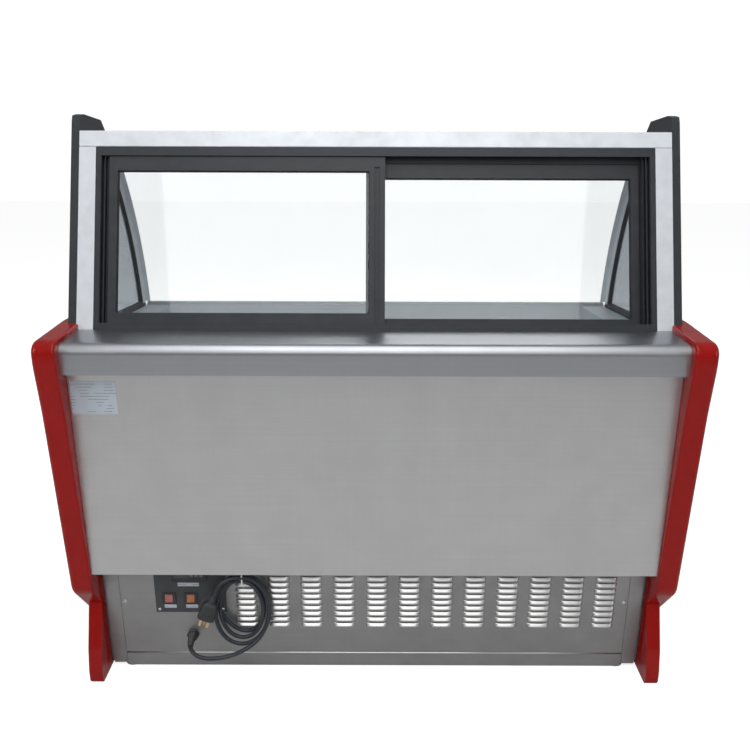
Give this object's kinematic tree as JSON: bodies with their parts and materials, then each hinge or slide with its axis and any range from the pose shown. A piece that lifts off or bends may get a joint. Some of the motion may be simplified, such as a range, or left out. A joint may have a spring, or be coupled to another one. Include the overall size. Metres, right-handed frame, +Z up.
{
  "type": "curved glass ice cream display freezer",
  "caption": "Curved-glass display freezer seen from the serving side: sliding rear doors, steel worktop and panel, red side panels, louvred base with a supply cord.",
  "frame": {"origin": "middle of the footprint on the floor, without the cord", "axes": "+X along the cabinet to the right as staff face it, +Y towards the customers, +Z up"},
  "size_m": [1.32, 0.798, 1.223],
  "materials": {
    "red_panel": "glossy moulded red",
    "red_skirt": "glossy red paint",
    "base_steel": "brushed",
    "panel_steel": "brushed, horizontal grain",
    "worktop_steel": "polished",
    "pale_coat": "satin powder coat",
    "dark_frame": "satin",
    "door_frame": "satin grey",
    "clear_glass": "clear",
    "liner_white": "white enamel",
    "foam": "foam",
    "glide_plastic": "moulded",
    "lamp_white": "white",
    "tube_glass": "frosted",
    "fin_aluminium": "bare",
    "fan_plastic": "moulded",
    "motor_metal": "satin",
    "compressor_black": "gloss black",
    "rubber_black": "matte",
    "copper_pipe": "bare copper",
    "plate_grey": "satin",
    "controller_black": "satin",
    "lens_amber": "gloss",
    "button_grey": "satin",
    "rocker_tint": "translucent",
    "label_pale": "satin, blank",
    "screw_steel": "bright",
    "cord_rubber": "satin",
    "tie_white": "nylon",
    "blade_brass": "bright"
  },
  "bodies": {
    "cabinet": {"left_side_panel": "red_panel", "right_side_panel": "red_panel", "left_foot_skirt": "red_skirt", "right_foot_skirt": "red_skirt", "base_frame": "base_steel", "machine_tray": "base_steel", "glides": "glide_plastic", "louvre_panel": "base_steel", "bottom_strip": "base_steel", "front_kick_panel": "base_steel", "cabinet_shell": "panel_steel", "insulation": "foam", "inner_liner": "liner_white", "rear_panel": "panel_steel", "worktop": "worktop_steel", "front_fascia": "red_panel", "front_sill": "pale_coat", "end_frames": "dark_frame", "end_glasses": "clear_glass", "canopy": "pale_coat", "front_glass": "clear_glass", "top_rail": "pale_coat", "window_posts": "pale_coat", "window_frame": "dark_frame", "lamp_housing": "lamp_white", "lamp_tube": "tube_glass", "display_decks": "liner_white", "evaporator": "fin_aluminium", "evaporator_fan_plate": "liner_white", "condenser": "fin_aluminium", "condenser_shroud": "motor_metal", "fan_motors": "motor_metal", "compressor": "compressor_black", "compressor_grommets": "rubber_black", "filter_drier": "copper_pipe", "refrigerant_pipes": "copper_pipe", "control_plate": "plate_grey", "controller": "controller_black", "controller_lens": "lens_amber", "switch_housings": "controller_black", "label_plates": "label_pale", "screws": "screw_steel", "cord_gland": "controller_black", "cord_coil": "cord_rubber", "power_cord": "cord_rubber", "cable_tie": "tie_white", "plug_body": "cord_rubber", "plug_blades": "blade_brass"},
    "left_door": {"left_door_frame": "door_frame", "left_door_glass": "clear_glass"},
    "right_door": {"right_door_frame": "door_frame", "right_door_glass": "clear_glass"},
    "power_rocker": {"power_rocker": "rocker_tint"},
    "light_rocker": {"light_rocker": "rocker_tint"},
    "set_button": {"set_button": "button_grey"},
    "down_button": {"down_button": "button_grey"},
    "up_button": {"up_button": "button_grey"},
    "condenser_fan": {"condenser_fan": "fan_plastic"},
    "evaporator_fan_left": {"evaporator_fan_left": "fan_plastic"},
    "evaporator_fan_right": {"evaporator_fan_right": "fan_plastic"}
  },
  "joints": [
    {"name": "left_door_slide", "type": "slide", "parent": "cabinet", "child": "left_door", "axis": [1, 0, 0], "range_m": [0, 0.534]},
    {"name": "right_door_slide", "type": "slide", "parent": "cabinet", "child": "right_door", "axis": [-1, 0, 0], "range_m": [0, 0.534]},
    {"name": "condenser_fan_spin", "type": "hinge", "parent": "cabinet", "child": "condenser_fan", "pos_m": [-0.06, 0.115, 0.1395], "axis": [0, 1, 0], "continuous": true},
    {"name": "evaporator_fan_left_spin", "type": "hinge", "parent": "cabinet", "child": "evaporator_fan_left", "pos_m": [-0.23075, -0.145, 0.415], "axis": [0, 1, 0], "continuous": true},
    {"name": "evaporator_fan_right_spin", "type": "hinge", "parent": "cabinet", "child": "evaporator_fan_right", "pos_m": [0.23075, -0.145, 0.415], "axis": [0, 1, 0], "continuous": true},
    {"name": "power_rocker_tilt", "type": "hinge", "parent": "cabinet", "child": "power_rocker", "pos_m": [-0.464, -0.299, 0.1855], "axis": [1, 0, 0], "range_deg": [0, 14]},
    {"name": "light_rocker_tilt", "type": "hinge", "parent": "cabinet", "child": "light_rocker", "pos_m": [-0.415, -0.299, 0.1855], "axis": [1, 0, 0], "range_deg": [0, 14]},
    {"name": "set_button_press", "type": "slide", "parent": "cabinet", "child": "set_button", "axis": [0, 1, 0], "range_m": [0, 0.001], "stiffness_N_per_m": 300, "springref_m": -0.001},
    {"name": "down_button_press", "type": "slide", "parent": "cabinet", "child": "down_button", "axis": [0, 1, 0], "range_m": [0, 0.001], "stiffness_N_per_m": 300, "springref_m": -0.001},
    {"name": "up_button_press", "type": "slide", "parent": "cabinet", "child": "up_button", "axis": [0, 1, 0], "range_m": [0, 0.001], "stiffness_N_per_m": 300, "springref_m": -0.001}
  ]
}
